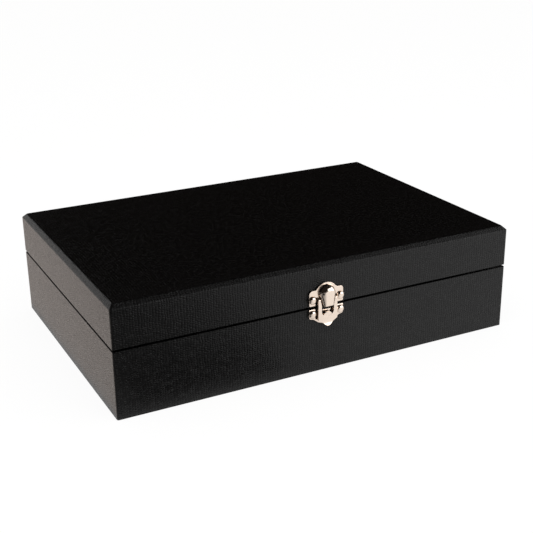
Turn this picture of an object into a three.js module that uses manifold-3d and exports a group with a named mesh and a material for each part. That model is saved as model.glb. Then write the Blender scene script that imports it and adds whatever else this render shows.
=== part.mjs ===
// Cufflink box: leatherette over MDF boards, with a hinged lid, velvet dividers and a pressed nickel clasp.
// Millimetres, +Z up. The origin is the middle of the underside, and the clasp is on the side that faces -Y.
import * as THREE from "three";
import { mergeVertices } from "three/addons/utils/BufferGeometryUtils.js";
import Module from "manifold-3d";

const wasm = await Module();
wasm.setup();

// Box and carcass
const boxWidth = 290;
const boxDepth = 196.5;
const boxHeight = 75.6;
const seamHeight = 46.1;
const seamGap = 0.6;
const wallThickness = 8;
const panelThickness = 4;
const mitreGap = 0.3;
const glueGap = 0.3;

// Leatherette, lining and pads
const coverThickness = 0.9;
const cornerRadius = 1.2;
const rimRadius = 1;
const lidBevel = 2.8;
const arrisRadius = 0.5;
const rimTurnIn = 6;
const bottomTurnUnder = 14;
const bottomSheetProud = 0.2;
const liningThickness = 1.2;
const pieceGap = 0.3;
const floorPadThickness = 3;
const floorPadPuff = 1;
const lidPadThickness = 5;
const lidPadCrown = 1.5;
const lidPadDrawIn = 0.8;

// Dividers
const compartmentColumns = 6;
const compartmentRows = 4;
const dividerThickness = 2.5;
const dividerDrop = 6.9;
const dividerEdgeRadius = 0.8;

// Hinges
const hingeSpacing = 174;
const hingeLength = 26;
const hingeLeafWidth = 8;
const hingeLeafThickness = 1.2;
const hingeLeafGap = 0.5;
const hingeLeafCorner = 1.2;
const knuckleRadius = 2.2;
const knuckleLength = 8.4;
const knuckleGap = 0.3;
const hingePinRadius = 0.9;
const hingePinClearance = 0.08;
const screwShankRadius = 0.9;
const screwHeadRadius = 1.9;
const screwHeadDepth = 0.9;
const screwLength = 7.5;
const screwPointLength = 2;
const screwClearance = 0.25;
const screwSpacing = 15;

// Clasp, with heights from the seam and depths from the box's front
const claspOffset = -0.7;
const claspSheet = 1;
const claspSeat = 0.15;
const earHalfWidth = 12.6;
const earTop = 12;
const earCorner = 2.2;
const earLowCorner = 0.9;
const earRoll = 0.8;
const archRadius = 8.6;
const archTop = 16.35;
const archFoot = 8;
const archFootRadius = 1.4;
const archStartAngle = 36;
const reliefInner = 6.5;
const reliefWidth = 1.6;
const reliefLidTop = 6.9;
const reliefBaseDrop = 8;
const lidPlateBottom = 1.3;
const noseWall = 0.7;
const noseProud = 5.6;
const noseRadius = 5.8;
const noseCentre = 9;
const noseFaceHalfWidth = 2.65;
const noseFlankBulge = 0.5;
const noseShoulderStart = 2;
const noseFaceRound = 0.35;
const noseTipHalfWidth = 4;
const basePlateTop = 0.7;
const basePlateEarDrop = 7.2;
const basePlateWaist = 9.4;
const basePlateWaistDrop = 8;
const basePlateShoulder = 5.8;
const basePlateShoulderDrop = 10.6;
const basePlateTipDrop = 12.6;
const basePlateCorner = 1.2;
const nibHalfWidth = 2;
const nibHeight = 0.8;
const nibDrop = 7.4;
const nibHalfLength = 0.9;
const haspHalfWidth = 7;
const haspSheet = 0.8;
const haspProud = 3.4;
const haspPivotHeight = 5.3;
const haspArmRadius = 0.95;
const haspClearance = 0.3;
const haspSlotClearance = 0.5;
const haspSlotDrop = 2.8;
const haspSlotSpring = 1.2;
const haspScoopDrop = 3.7;
const haspCheekDrop = 9;
const haspShoulderDrop = 7.8;
const haspWaistDrop = 9.8;
const haspWaistProud = 3;
const haspLipDrop = 13.2;
const haspLipProud = 4.7;
const haspLipHalfWidth = 5;
const haspLipShoulderDrop = 11.1;
const haspTipHalfWidth = 2.4;
const haspTipShoulderDrop = 12.5;
const haspTipDrop = 12.9;
const pivotRadius = 0.45;
const pivotClearance = 0.08;
const nailSpread = 10.2;
const nailLidHeight = 5.6;
const nailBaseDrop = 4.1;
const nailShankRadius = 0.6;
const nailHeadRadius = 2.75;
const nailHeadHeight = 1.5;
const nailHeadRim = 0.3;
const nailLength = 8.6;
const nailPointLength = 1.6;
const nailClearance = 0.25;

// A cut runs this far past what it cuts.
const overrun = 1;
// Straight steps in a small corner, a visible curve and a full turn.
const cornerSteps = 4;
const curveSteps = 8;
const turnSteps = 32;

const materials = {
  leatherette: { color: 0x1c1b1c, roughness: 0.5, metalness: 0 },
  board: { color: 0x9a7a55, roughness: 0.9, metalness: 0 },
  velvet: { color: 0x1b1a1d, roughness: 1, metalness: 0 },
  felt: { color: 0x161616, roughness: 1, metalness: 0 },
  nickel: { color: 0xd9cfc4, roughness: 0.2, metalness: 1 },
  steel: { color: 0xb9b6b0, roughness: 0.35, metalness: 1 },
};

// Solids: a closed geometry becomes one that can be joined and cut, and goes back to a geometry at the end.
function solidOf(geometry) {
  geometry.deleteAttribute("normal");
  geometry.deleteAttribute("uv");
  const merged = mergeVertices(geometry);
  const vertProperties = merged.attributes.position.array;
  const corners = [];
  for (let i = 0; i < merged.index.count; i += 3) {
    const [a, b, c] = merged.index.array.slice(i, i + 3);
    if (a !== b && b !== c && c !== a) corners.push(a, b, c);
  }
  const triVerts = new Uint32Array(corners);
  const solid = new wasm.Manifold(new wasm.Mesh({ numProp: 3, vertProperties, triVerts }));
  if (solid.volume() > 0) return solid;
  triVerts.reverse();
  return new wasm.Manifold(new wasm.Mesh({ numProp: 3, vertProperties, triVerts }));
}

function geometryOf(solid) {
  const mesh = solid.getMesh();
  const geometry = new THREE.BufferGeometry();
  geometry.setAttribute("position", new THREE.BufferAttribute(mesh.vertProperties, 3));
  geometry.setIndex(new THREE.BufferAttribute(mesh.triVerts, 1));
  const flat = geometry.toNonIndexed();
  flat.computeVertexNormals();
  return flat;
}

function addMesh(group, name, solid, materialName) {
  const material = new THREE.MeshStandardMaterial(materials[materialName]);
  const mesh = new THREE.Mesh(geometryOf(solid), material);
  mesh.name = name;
  group.add(mesh);
  return mesh;
}

// Outlines: a polygon whose corners are [across, up, radius], each turned into an arc of its radius.
function roundedShape(corners, steps = cornerSteps) {
  const points = [];
  corners.forEach(([x, y, radius = 0], i) => {
    const corner = new THREE.Vector2(x, y);
    const [px, py] = corners.at(i - 1);
    const [nx, ny] = corners[(i + 1) % corners.length];
    const before = new THREE.Vector2(px, py).sub(corner);
    const after = new THREE.Vector2(nx, ny).sub(corner);
    const half = before.angleTo(after) / 2;
    const run = Math.min(radius / Math.tan(half), before.length() / 2, after.length() / 2);
    if (run <= 0) {
      points.push(corner);
      return;
    }
    const start = corner.clone().addScaledVector(before.normalize(), run);
    const end = corner.clone().addScaledVector(after.normalize(), run);
    const centre = corner.clone().add(before.add(after).normalize().multiplyScalar(run / Math.cos(half)));
    const from = start.clone().sub(centre).angle();
    let sweep = end.clone().sub(centre).angle() - from;
    if (sweep > Math.PI) sweep -= 2 * Math.PI;
    if (sweep < -Math.PI) sweep += 2 * Math.PI;
    const arcRadius = run * Math.tan(half);
    for (let s = 0; s <= steps; s += 1) {
      const angle = from + (sweep * s) / steps;
      points.push(new THREE.Vector2(Math.cos(angle), Math.sin(angle)).multiplyScalar(arcRadius).add(centre));
    }
  });
  return new THREE.Shape(points);
}

// The right-hand corners of a symmetrical outline, from its bottom to its top, with their mirror images.
function mirroredCorners(corners) {
  const left = corners.toReversed().map(([x, y, radius]) => [-x, y, radius]);
  return [...corners, ...left];
}

function rectangleCorners(halfWidth, low, high, radius = 0) {
  return mirroredCorners([[halfWidth, low, radius], [halfWidth, high, radius]]);
}

// Turns of an extruded outline: along X it is drawn in (Y, Z), and along Y in (X, Z).
const outlineToX = new THREE.Matrix4().makeBasis(
  new THREE.Vector3(0, 1, 0),
  new THREE.Vector3(0, 0, 1),
  new THREE.Vector3(1, 0, 0),
);
const outlineToY = new THREE.Matrix4().makeBasis(
  new THREE.Vector3(1, 0, 0),
  new THREE.Vector3(0, 0, 1),
  new THREE.Vector3(0, -1, 0),
);

// Prisms along each axis
function extruded(shape, depth, curveSegments = curveSteps) {
  return new THREE.ExtrudeGeometry(shape, { depth, bevelEnabled: false, curveSegments });
}

function prismZ(shape, low, high) {
  return solidOf(extruded(shape, high - low).translate(0, 0, low));
}

function prismX(shape, low, high) {
  return solidOf(extruded(shape, high - low).applyMatrix4(outlineToX).translate(low, 0, 0));
}

function prismY(shape, low, high) {
  return solidOf(extruded(shape, high - low).applyMatrix4(outlineToY).translate(0, high, 0));
}

function moved(solid, x, y, z) {
  return solid.translate([x, y, z]);
}

// A full turn of a profile given as [radius, height] from the axis round to the axis, upright.
function turned(profile, steps = turnSteps) {
  const points = profile.map(([radius, height]) => new THREE.Vector2(radius, height));
  return new THREE.LatheGeometry(points, steps);
}

const uprightToZ = new THREE.Matrix4().makeRotationX(Math.PI / 2);
const uprightToFront = new THREE.Matrix4().makeRotationX(Math.PI);
const uprightToX = new THREE.Matrix4().makeRotationZ(-Math.PI / 2);

function rod(radius, low, high, steps) {
  return turned([[0, low], [radius, low], [radius, high], [0, high]], steps);
}

function rodX(radius, low, high, steps = turnSteps) {
  return solidOf(rod(radius, low, high, steps).applyMatrix4(uprightToX));
}

function rodZ(radius, low, high, steps = turnSteps) {
  return solidOf(rod(radius, low, high, steps).applyMatrix4(uprightToZ));
}

// A rod that points out of the box's front, from one depth to another.
function rodFront(radius, low, high, steps = turnSteps) {
  return solidOf(rod(radius, low, high, steps).applyMatrix4(uprightToFront));
}

// Insets of each layer from the box's side, from the outside in.
const boardInset = coverThickness + glueGap;
const boardInner = boardInset + wallThickness;
const liningInset = boardInner + glueGap;
const turnInInner = liningInset + coverThickness;
const liningInner = liningInset + liningThickness;
const padInset = liningInner + pieceGap;
const rebateInset = (boardInset + boardInner) / 2;

// Heights of each layer.
const rimTop = seamHeight - seamGap / 2;
const rimBottom = seamHeight + seamGap / 2;
const coverBottom = bottomSheetProud;
const baseBoardBottom = coverBottom + coverThickness + glueGap;
const baseBoardTop = rimTop - coverThickness - glueGap;
const floorTop = baseBoardBottom + panelThickness;
const lidBoardBottom = rimBottom + coverThickness + glueGap;
const lidBoardTop = boxHeight - coverThickness - glueGap;
const lidPanelBottom = lidBoardTop - panelThickness;

// A block as large as the box less an inset: its sides follow one edge profile all round, as corners of
// [inset, height, radius] from the bottom up, and its upright corners are rounded in plan.
function profiledBlock(edge, radius) {
  const corners = (half) => edge.map(([inset, height, r]) => [half - inset, height, r]);
  const across = (half) => roundedShape(mirroredCorners(corners(half)));
  const least = Math.min(...edge.map(([inset]) => inset));
  const halfWidth = boxWidth / 2;
  const halfDepth = boxDepth / 2;
  const low = edge[0][1];
  const high = edge.at(-1)[1];
  const planCorners = rectangleCorners(halfWidth - least, least - halfDepth, halfDepth - least, radius);
  const plan = roundedShape(planCorners);
  return prismX(across(halfDepth), -halfWidth, halfWidth)
    .intersect(prismY(across(halfWidth), -halfDepth, halfDepth))
    .intersect(prismZ(plan, low, high));
}

function plainBlock(inset, low, high) {
  const edge = [[inset, low], [inset, high]];
  return profiledBlock(edge, Math.max(0, cornerRadius - inset));
}

// A block inside the lid's outer form, its bevel kept parallel to the lid's.
function bevelledBlock(inset, low) {
  const bevelShift = inset * (Math.SQRT2 - 1);
  const edge = [
    [inset, low],
    [inset, boxHeight - lidBevel - bevelShift],
    [lidBevel + bevelShift, boxHeight - inset],
  ];
  return profiledBlock(edge, Math.max(0, cornerRadius - inset));
}

function ringBlock(outerInset, innerInset, low, high) {
  return plainBlock(outerInset, low, high).subtract(plainBlock(innerInset, low - overrun, high + overrun));
}

// Places that the hinges and the clasp share with the walls they are fixed to.
const hingeAxisY = boxDepth / 2 + knuckleRadius + pieceGap;
const hingeSides = { left: -hingeSpacing / 2, right: hingeSpacing / 2 };
const mortiseDepth = hingeLeafGap / 2 + hingeLeafThickness + pieceGap;
const screwInset = hingeLeafWidth / 2;
const screwSteps = [-screwSpacing / 2, screwSpacing / 2];
const screwPlaceY = boxDepth / 2 - hingeAxisY - screwInset;
const clasp = new THREE.Vector3(claspOffset, -boxDepth / 2, seamHeight);
const nailSides = [-nailSpread, nailSpread];

// The recesses of both hinges in a rim: side is 1 above the seam and -1 below it.
function hingeMortises(side) {
  const back = boxDepth / 2;
  const cuts = Object.values(hingeSides).map((x) => {
    const low = Math.min(0, side * mortiseDepth);
    const high = Math.max(0, side * mortiseDepth);
    const cut = roundedShape(
      rectangleCorners(hingeLength / 2 + pieceGap, back - hingeLeafWidth - pieceGap, back + overrun),
    );
    return moved(prismZ(cut, low, high), x, 0, seamHeight);
  });
  return wasm.Manifold.union(cuts);
}

// Pilot holes for the hinge screws in a back board.
function hingeScrewHoles(side) {
  const holes = Object.values(hingeSides).flatMap((x) =>
    screwSteps.map((step) => {
      const depth = side * (screwLength + mortiseDepth + overrun);
      const radius = screwShankRadius + screwClearance;
      const hole = rodZ(radius, Math.min(0, depth), Math.max(0, depth), curveSteps * 2);
      return moved(hole, x + step, boxDepth / 2 - screwInset, seamHeight);
    }),
  );
  return wasm.Manifold.union(holes);
}

// Holes for the clasp's two pins on one side of the seam.
function claspHoles(side) {
  const height = side > 0 ? nailLidHeight : -nailBaseDrop;
  const holes = nailSides.map((x) => {
    const hole = rodFront(nailShankRadius + nailClearance, -nailLength - overrun, overrun, curveSteps * 2);
    return moved(hole, clasp.x + x, clasp.y, clasp.z + height);
  });
  return wasm.Manifold.union(holes);
}

// Leatherette cover: a skin over the outside, turned over the rim's edge and a little way down inside it.
function baseCover() {
  const outside = profiledBlock([[0, coverBottom, arrisRadius], [0, rimTop, rimRadius]], cornerRadius);
  const boards = plainBlock(coverThickness, coverBottom + coverThickness, rimTop - coverThickness);
  const turnIn = ringBlock(liningInset, turnInInner, rimTop - rimTurnIn, rimTop);
  const inside = plainBlock(turnInInner, coverBottom + coverThickness, rimTop + overrun);
  const underside = plainBlock(bottomTurnUnder, coverBottom - overrun, baseBoardBottom);
  return outside
    .subtract(boards.subtract(turnIn))
    .subtract(inside)
    .subtract(underside)
    .subtract(hingeMortises(-1))
    .subtract(claspHoles(-1));
}

function lidCover() {
  const outside = profiledBlock(
    [[0, rimBottom, rimRadius], [0, boxHeight - lidBevel, arrisRadius], [lidBevel, boxHeight, arrisRadius]],
    cornerRadius,
  );
  const boards = bevelledBlock(coverThickness, rimBottom + coverThickness);
  const turnIn = ringBlock(liningInset, turnInInner, rimBottom, rimBottom + rimTurnIn);
  const inside = plainBlock(turnInInner, rimBottom - overrun, boxHeight - coverThickness);
  return outside
    .subtract(boards.subtract(turnIn))
    .subtract(inside)
    .subtract(hingeMortises(1))
    .subtract(claspHoles(1));
}

// Wall boards: one profile run all round, parted at mitred corners.
function mitredWalls(ring) {
  const reach = boardInner + overrun;
  const shift = mitreGap / Math.SQRT2;
  const side = (half, across) => [
    [shift - half, -across],
    [half - shift, -across],
    [half - shift - reach, reach - across],
    [reach + shift - half, reach - across],
  ];
  const quarterTurn = (corners) => corners.map(([x, y]) => [-y, x]);
  const halfTurn = (corners) => corners.map(([x, y]) => [-x, -y]);
  const front = side(boxWidth / 2, boxDepth / 2);
  const right = quarterTurn(side(boxDepth / 2, boxWidth / 2));
  const cut = (corners) => ring.intersect(prismZ(roundedShape(corners), -overrun, boxHeight + overrun));
  return { front: cut(front), back: cut(halfTurn(front)), right: cut(right), left: cut(halfTurn(right)) };
}

function baseBoards() {
  const ring = ringBlock(boardInset, boardInner, baseBoardBottom, baseBoardTop);
  const rebate = plainBlock(rebateInset, baseBoardBottom - overrun, floorTop + pieceGap);
  const boards = mitredWalls(ring.subtract(rebate));
  boards.back = boards.back.subtract(hingeMortises(-1)).subtract(hingeScrewHoles(-1));
  boards.front = boards.front.subtract(claspHoles(-1));
  boards.floor = plainBlock(rebateInset + pieceGap, baseBoardBottom, floorTop);
  return boards;
}

function lidBoards() {
  const inside = plainBlock(boardInner, lidBoardBottom - overrun, boxHeight);
  const rebate = plainBlock(rebateInset, lidPanelBottom - pieceGap, boxHeight);
  const ring = bevelledBlock(boardInset, lidBoardBottom).subtract(inside).subtract(rebate);
  const boards = mitredWalls(ring);
  boards.back = boards.back.subtract(hingeMortises(1)).subtract(hingeScrewHoles(1));
  boards.front = boards.front.subtract(claspHoles(1));
  boards.top = plainBlock(rebateInset + pieceGap, lidPanelBottom, lidBoardTop);
  return boards;
}

// Velvet liners: upright rings against the boards, up to the turned-in leatherette.
function baseLining() {
  return ringBlock(liningInset, liningInner, floorTop + glueGap, rimTop - rimTurnIn - pieceGap);
}

function lidLining() {
  return ringBlock(liningInset, liningInner, rimBottom + rimTurnIn + pieceGap, lidPanelBottom - glueGap);
}

function bottomSheet() {
  return plainBlock(bottomTurnUnder + pieceGap, 0, baseBoardBottom - glueGap);
}

// Pads: a flat back at z = 0 and a face that puffs up in each cell, with sides drawn in between the corners.
const padWidth = boxWidth - 2 * padInset;
const padDepth = boxDepth - 2 * padInset;

function crownedPad(thickness, puff, drawIn, columns, rows, cellSteps) {
  const columnSteps = columns * cellSteps;
  const rowSteps = rows * cellSteps;
  const crownPower = columns > 1 ? 2 : 1 / 2;
  const geometry = new THREE.BoxGeometry(padWidth, padDepth, thickness, columnSteps, rowSteps, 1);
  const place = geometry.attributes.position;
  for (let i = 0; i < place.count; i += 1) {
    const acrossShare = place.getX(i) / padWidth + 1 / 2;
    const alongShare = place.getY(i) / padDepth + 1 / 2;
    const columnCrown = Math.abs(Math.sin(Math.PI * acrossShare * columns));
    const rowCrown = Math.abs(Math.sin(Math.PI * alongShare * rows));
    const lift = place.getZ(i) > 0 ? puff * (columnCrown * rowCrown) ** crownPower : 0;
    const drawnX = drawIn * Math.sin(Math.PI * alongShare) * Math.sign(place.getX(i));
    const drawnY = drawIn * Math.sin(Math.PI * acrossShare) * Math.sign(place.getY(i));
    const onSideX = Math.abs(2 * acrossShare - 1) > 1 - 1 / columnSteps ? drawnX : 0;
    const onSideY = Math.abs(2 * alongShare - 1) > 1 - 1 / rowSteps ? drawnY : 0;
    place.setX(i, place.getX(i) - onSideX);
    place.setY(i, place.getY(i) - onSideY);
    place.setZ(i, place.getZ(i) + thickness / 2 + lift);
  }
  return solidOf(geometry);
}

function floorPad() {
  const cells = [compartmentColumns, compartmentRows];
  const pad = crownedPad(floorPadThickness, floorPadPuff, 0, ...cells, cornerSteps);
  return moved(pad, 0, 0, floorTop + glueGap);
}

function lidPad() {
  const pad = crownedPad(lidPadThickness - lidPadCrown, lidPadCrown, lidPadDrawIn, 1, 1, 2 * curveSteps);
  return moved(pad.rotate([180, 0, 0]), 0, 0, lidPanelBottom - glueGap);
}

// Dividers: half-lapped boards on edge. The long ones are slotted from the top and the cross ones from below.
const dividerLow = floorTop + glueGap + floorPadThickness + pieceGap;
const dividerHigh = rimTop - dividerDrop;
const dividerMiddle = (dividerLow + dividerHigh) / 2;

function dividerPlaces(count, length) {
  return Array.from({ length: count - 1 }, (_, i) => length * ((i + 1) / count - 1 / 2));
}

function divider(length, slotPlaces, slotLow, slotHigh) {
  const half = dividerThickness / 2;
  const section = roundedShape(mirroredCorners([[half, dividerLow], [half, dividerHigh, dividerEdgeRadius]]));
  const slotOutline = roundedShape(rectangleCorners(half + pieceGap, slotLow, slotHigh));
  const slot = prismY(slotOutline, -dividerThickness, dividerThickness);
  const slots = slotPlaces.map((x) => moved(slot, x, 0, 0));
  return prismX(section, -length / 2, length / 2).subtract(wasm.Manifold.union(slots));
}

function longDivider() {
  const slots = dividerPlaces(compartmentColumns, padWidth);
  return divider(padWidth, slots, dividerMiddle - pieceGap / 2, dividerHigh + overrun);
}

function crossDivider() {
  const slots = dividerPlaces(compartmentRows, padDepth);
  return divider(padDepth, slots, dividerLow - overrun, dividerMiddle + pieceGap / 2).rotate([0, 0, 90]);
}

// Hinge, about its pin. side is 1 for the lid's leaf and -1 for the base's.
// The base's leaf has the two outer knuckles, and the lid's leaf has the one between them.
function knuckleZones(side) {
  const half = hingeLength / 2;
  const middle = knuckleLength / 2;
  const outer = middle + knuckleGap;
  if (side > 0) {
    return { own: [[-middle, middle]], other: [[-half - overrun, -middle], [middle, half + overrun]] };
  }
  return { own: [[-half, -outer], [outer, half]], other: [[-outer, outer]] };
}

function leafPlan() {
  const half = hingeLength / 2;
  const back = boxDepth / 2 - hingeAxisY;
  return roundedShape([
    [-half, back - hingeLeafWidth, hingeLeafCorner],
    [half, back - hingeLeafWidth, hingeLeafCorner],
    [half, 0],
    [-half, 0],
  ]);
}

function hingeLeaf(side) {
  const zones = knuckleZones(side);
  const faces = [side * hingeLeafGap / 2, side * (hingeLeafGap / 2 + hingeLeafThickness)];
  let leaf = prismZ(leafPlan(), Math.min(...faces), Math.max(...faces));
  zones.other.forEach(([low, high]) => {
    leaf = leaf.subtract(rodX(knuckleRadius + pieceGap, low, high));
  });
  zones.own.forEach(([low, high]) => {
    leaf = leaf.add(rodX(knuckleRadius, low, high));
  });
  const boreEnd = hingeLength / 2 + overrun;
  leaf = leaf.subtract(rodX(hingePinRadius + hingePinClearance, -boreEnd, boreEnd, turnSteps / 2));
  screwSteps.forEach((x) => {
    leaf = leaf.subtract(moved(screwForm(side, screwClearance, overrun), x, screwPlaceY, 0));
  });
  return leaf;
}

// A countersunk screw whose head is flush with its leaf's inner face, or the hole for one when grown.
function screwForm(side, grown = 0, stretch = 0) {
  const face = hingeLeafGap / 2;
  const shank = screwShankRadius + grown;
  const head = screwHeadRadius + grown;
  const profile = [
    [0, face - stretch],
    [head, face - stretch],
    [head, face],
    [shank, face + screwHeadDepth],
    [shank, face + screwLength - screwPointLength],
    [0, face + screwLength],
  ].filter((point, i, all) => i === 0 || point[0] !== all[i - 1][0] || point[1] !== all[i - 1][1]);
  const upright = solidOf(turned(profile, curveSteps * 2).applyMatrix4(uprightToZ));
  return side > 0 ? upright : upright.rotate([180, 0, 0]);
}

function hingePin() {
  return rodX(hingePinRadius, -hingeLength / 2, hingeLength / 2, turnSteps / 2);
}

// Clasp. Its frame has its origin on the box's front at the seam, and depths are measured out of the front.
const plateFront = claspSeat + claspSheet;

function frontPrism(shape, low, high) {
  return prismY(shape, -high, -low);
}

function frontBlock(halfWidth, lowHeight, highHeight, low, high, radius = 0) {
  return frontPrism(roundedShape(rectangleCorners(halfWidth, lowHeight, highHeight, radius)), low, high);
}

function nailHole() {
  return rodFront(nailShankRadius + nailClearance, -overrun, plateFront + overrun, curveSteps * 2);
}

// The domed nose: one section swept straight up from the tip and turned round the dome's centre, and its
// lower half drawn in towards the tip. wall is 0 for its outside and the sheet's thickness for its inside.
function noseForm(wall, backStretch) {
  const radius = noseRadius - wall;
  const front = noseProud - wall;
  const face = noseFaceHalfWidth - wall / 2;
  const back = claspSeat - backStretch;
  const flank = new THREE.QuadraticBezierCurve(
    new THREE.Vector2(radius, noseShoulderStart),
    new THREE.Vector2((radius + face) / 2 + noseFlankBulge, (noseShoulderStart + front) / 2 + noseFlankBulge),
    new THREE.Vector2(face + noseFaceRound, front - noseFaceRound),
  );
  const profile = [
    [0, back],
    [radius, back],
    ...flank.getPoints(curveSteps / 2).map((point) => [point.x, point.y]),
    [face, front],
    [0, front],
  ];
  const dome = moved(solidOf(turned(profile).applyMatrix4(uprightToFront)), 0, 0, noseCentre);
  const section = mirroredCorners(profile.slice(1, -1).map(([x, depth]) => [x, -depth]));
  const tip = lidPlateBottom - (wall > 0 ? overrun : 0);
  const straight = prismZ(roundedShape(section), tip, noseCentre);
  const taper = roundedShape([
    [wall - noseTipHalfWidth, lidPlateBottom - overrun],
    [noseTipHalfWidth - wall, lidPlateBottom - overrun],
    [noseTipHalfWidth - wall, lidPlateBottom],
    [radius, noseCentre],
    [radius, noseCentre + noseRadius],
    [-radius, noseCentre + noseRadius],
    [-radius, noseCentre],
    [wall - noseTipHalfWidth, lidPlateBottom],
  ]);
  return dome.add(straight).intersect(frontPrism(taper, back, noseProud + overrun));
}

// Reliefs in both plates that let the hasp's side walls pass.
function reliefs(low, high) {
  const one = roundedShape(rectangleCorners(reliefWidth / 2, low, high));
  const middle = reliefInner + reliefWidth / 2;
  const cut = frontPrism(one, 0, plateFront + overrun);
  return moved(cut, -middle, 0, 0).add(moved(cut, middle, 0, 0));
}

function claspLidPlate() {
  const arch = Array.from({ length: curveSteps }, (_, i) => {
    const angle = THREE.MathUtils.degToRad(archStartAngle + ((90 - archStartAngle) * i) / curveSteps);
    return [archRadius * Math.cos(angle), archTop - archRadius + archRadius * Math.sin(angle)];
  });
  const right = [
    [earHalfWidth, lidPlateBottom, earLowCorner],
    [earHalfWidth, earTop, earCorner],
    [archFoot, earTop, archFootRadius],
    ...arch,
  ];
  const outline = roundedShape(mirroredCorners(right).toSpliced(right.length, 0, [0, archTop]));
  let plate = frontPrism(outline, claspSeat, plateFront)
    .subtract(reliefs(lidPlateBottom - overrun, reliefLidTop))
    .add(noseForm(0, 0))
    .subtract(noseForm(noseWall, overrun));
  nailSides.forEach((x) => {
    plate = plate.subtract(moved(nailHole(), x, 0, nailLidHeight));
  });
  const bore = rodX(pivotRadius + pivotClearance, -haspHalfWidth, haspHalfWidth, turnSteps / 2);
  return plate.subtract(moved(bore, 0, -pivotDepth, haspPivotHeight));
}

// The hasp hangs on its pivot in front of both plates.
const haspBack = plateFront + haspClearance;
const pivotDepth = haspBack + haspArmRadius;
const noseTaperSlope = (noseRadius - noseTipHalfWidth) / (noseCentre - lidPlateBottom);
const slotHalfWidth = noseTipHalfWidth + haspSlotClearance;
const haspTop = haspPivotHeight + haspArmRadius;

// Side outlines of the hasp, drawn in (Y, Z), so depths out of the front are negative.
function haspSide(corners) {
  return roundedShape(corners.map(([depth, height, radius]) => [-depth, height, radius]));
}

// The hasp's front, from the arms' tops down to the flared lip, as one bent sheet.
function haspFront() {
  return prismX(
    haspSide([
      [haspProud, haspTop, haspSheet / 2],
      [haspProud, -haspShoulderDrop, haspProud],
      [haspWaistProud, -haspWaistDrop, haspSheet],
      [haspLipProud, -haspLipDrop],
      [haspLipProud - haspSheet, -haspLipDrop - haspSheet / 2],
      [haspWaistProud - haspSheet, -haspWaistDrop - haspSheet / 2, haspSheet],
      [haspProud - haspSheet, -haspShoulderDrop, haspProud],
      [haspProud - haspSheet, haspTop],
    ]),
    -haspHalfWidth,
    haspHalfWidth,
  );
}

// Side walls turned back from the front's edges, and the solid ends of the arms that the pivot goes through.
function haspCheeks() {
  const inner = haspHalfWidth - haspSheet;
  const outline = haspSide([
    [haspBack, haspTop, haspArmRadius],
    [haspBack, -haspCheekDrop, haspSheet],
    [haspWaistProud - haspSheet / 2, -haspWaistDrop],
    [haspProud - haspSheet / 2, -haspShoulderDrop],
    [haspProud - haspSheet / 2, haspTop, haspArmRadius],
  ]);
  return prismX(outline, -haspHalfWidth, -inner).add(prismX(outline, inner, haspHalfWidth));
}

function haspArmEnds() {
  const low = haspPivotHeight - 2 * haspArmRadius;
  const outline = haspSide([
    [haspBack, haspTop, haspArmRadius],
    [haspBack, low, haspSheet],
    [haspProud, low],
    [haspProud, haspTop, haspArmRadius],
  ]);
  return prismX(outline, -haspHalfWidth, haspHalfWidth);
}

function haspPlan() {
  return roundedShape([
    [0, -haspTipDrop, haspTipHalfWidth],
    ...mirroredCorners([
      [haspTipHalfWidth, -haspTipShoulderDrop, haspTipHalfWidth],
      [haspLipHalfWidth, -haspLipShoulderDrop, haspTipHalfWidth],
      [haspHalfWidth, -haspCheekDrop, haspSheet],
      [haspHalfWidth, haspTop],
    ]),
  ]);
}

function claspHasp() {
  const boreEnd = haspHalfWidth + overrun;
  const bore = rodX(pivotRadius + pivotClearance, -boreEnd, boreEnd, turnSteps / 2);
  return haspFront()
    .add(haspCheeks())
    .add(haspArmEnds())
    .add(slotRim())
    .intersect(frontPrism(haspPlan(), 0, haspLipProud + overrun))
    .subtract(slotOval(0, haspBack - overrun, haspProud + overrun))
    .subtract(armGap())
    .subtract(moved(bore, 0, -pivotDepth, haspPivotHeight));
}

// The gap between the arms follows the nose's taper.
function armGap() {
  const top = haspTop + overrun;
  const corners = [
    [slotHalfWidth, -haspSlotDrop / 2],
    [slotHalfWidth, lidPlateBottom],
    [slotHalfWidth + noseTaperSlope * (top - lidPlateBottom), top],
  ];
  return frontPrism(roundedShape(mirroredCorners(corners)), claspSeat, haspProud + overrun);
}

// Below the nose the slot ends in a half oval that sinks towards the front, so that its rim is a finger hold.
// grown is 0 for the slot, and the sheet's thickness for the rim that is turned in round it.
function slotOval(grown, low, high) {
  const scoopSlope = haspScoopDrop / (haspProud - haspBack);
  const half = slotHalfWidth + grown;
  const outline = new THREE.Shape();
  outline.moveTo(half, haspSlotSpring + haspScoopDrop + overrun);
  outline.lineTo(-half, haspSlotSpring + haspScoopDrop + overrun);
  outline.absellipse(0, haspSlotSpring, half, haspSlotSpring + haspSlotDrop + grown, Math.PI, 2 * Math.PI);
  const slant = new THREE.Matrix4().makeShear(0, 0, 0, scoopSlope, 0, 0);
  const straight = extruded(outline, high - low, 2 * curveSteps).applyMatrix4(outlineToY);
  straight.translate(0, haspBack - low, 0).applyMatrix4(slant).translate(0, -haspBack, 0);
  return solidOf(straight);
}

function slotRim() {
  const behind = frontBlock(haspHalfWidth, -haspWaistDrop, lidPlateBottom, haspBack, haspProud);
  return slotOval(haspSheet, haspBack, haspProud).intersect(behind);
}

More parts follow.
